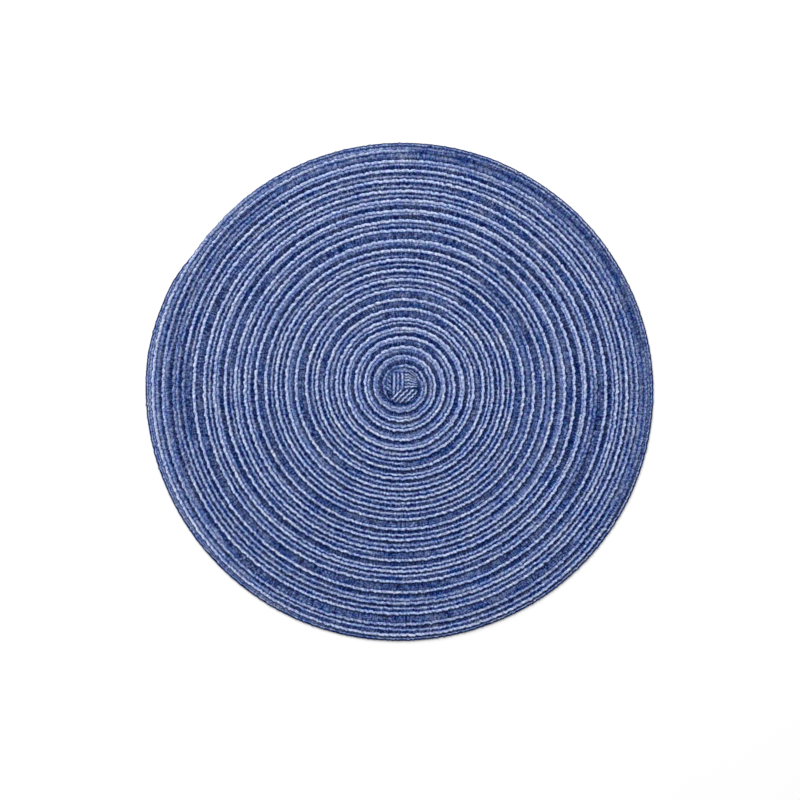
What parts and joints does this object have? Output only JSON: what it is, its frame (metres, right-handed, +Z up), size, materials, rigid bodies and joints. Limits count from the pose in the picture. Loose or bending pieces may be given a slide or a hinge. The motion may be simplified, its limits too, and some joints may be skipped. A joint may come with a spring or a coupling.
{
  "type": "round fabric placemat",
  "caption": "Round flat placemat of space-dyed blue and lavender yarn: a woven strap wound outwards in a half-lapped spiral from a folded pad, for setting under a plate.",
  "frame": {"origin": "middle of the bounding box on the flat underside", "axes": "+Z up out of the face; +Y towards the place where the first turn leaves the folded pad; +X to the right of that, seen from above"},
  "size_m": [0.3628, 0.36, 0.0044],
  "materials": {
    "woven_yarn": "matt space-dyed yarn, navy to lavender"
  },
  "bodies": {
    "root": {"mat": "woven_yarn"}
  },
  "joints": []
}
